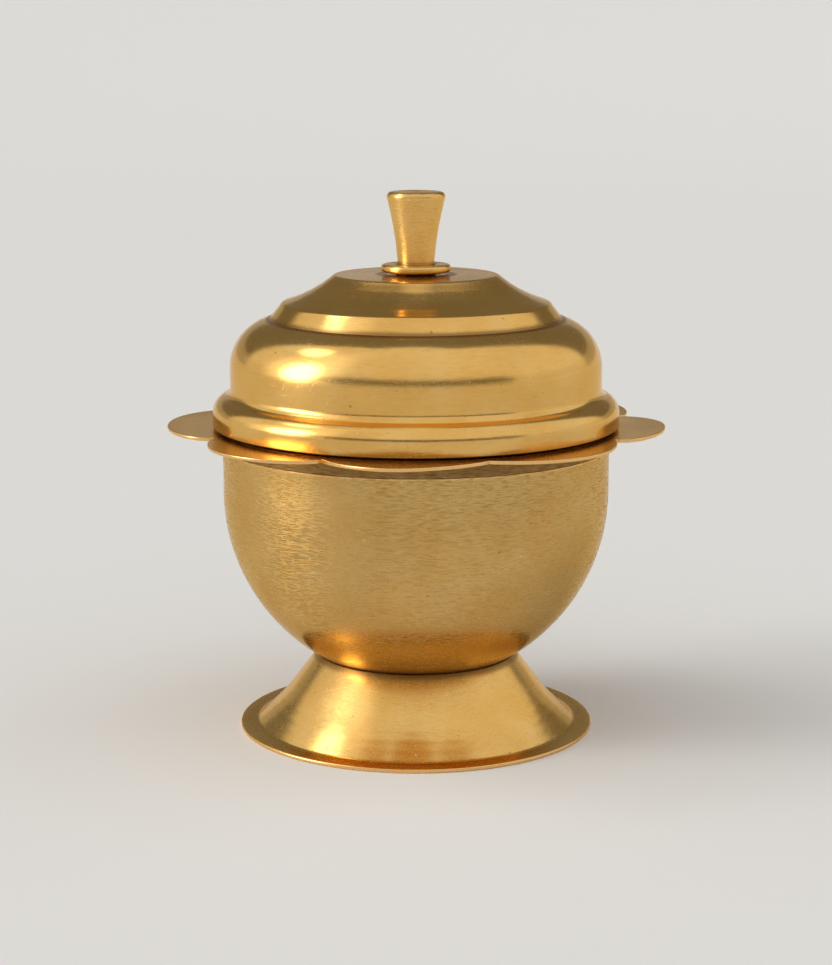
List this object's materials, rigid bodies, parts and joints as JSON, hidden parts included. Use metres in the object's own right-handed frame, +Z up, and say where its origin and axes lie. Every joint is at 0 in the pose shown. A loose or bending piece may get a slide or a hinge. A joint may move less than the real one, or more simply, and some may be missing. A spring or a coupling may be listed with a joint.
{
  "type": "kumkum box",
  "caption": "Small footed brass box for kumkum powder: round bowl with a petalled rim, and a stepped lid that lifts off by a flared knob.",
  "frame": {"origin": "centre of the foot's underside, on the surface that the box stands on", "axes": "+Z up along the axis that every piece is turned about, -Y towards the front, +X to the right"},
  "size_m": [0.062, 0.062, 0.067],
  "materials": {
    "foot": "polished, fine spinning lines, worn",
    "foot_solder_ring": "dull brazing spelter",
    "bowl": "satin, fine spinning lines",
    "petal_flange": "satin, with bright filed edges",
    "flange_solder_ring": "dull brazing spelter",
    "lid_shell": "polished, fine spinning lines, tarnished in the creases",
    "knob": "turned and polished",
    "knob_washer": "satin"
  },
  "bodies": {
    "box": {"foot": "foot", "foot_solder_ring": "foot_solder_ring", "bowl": "bowl", "petal_flange": "petal_flange", "flange_solder_ring": "flange_solder_ring"},
    "lid": {"lid_shell": "lid_shell", "knob": "knob", "knob_washer": "knob_washer"}
  },
  "joints": [
    {"name": "lid_lift", "type": "slide", "parent": "box", "child": "lid", "axis": [0, 0, 1], "range_m": [0, 0.045]}
  ]
}
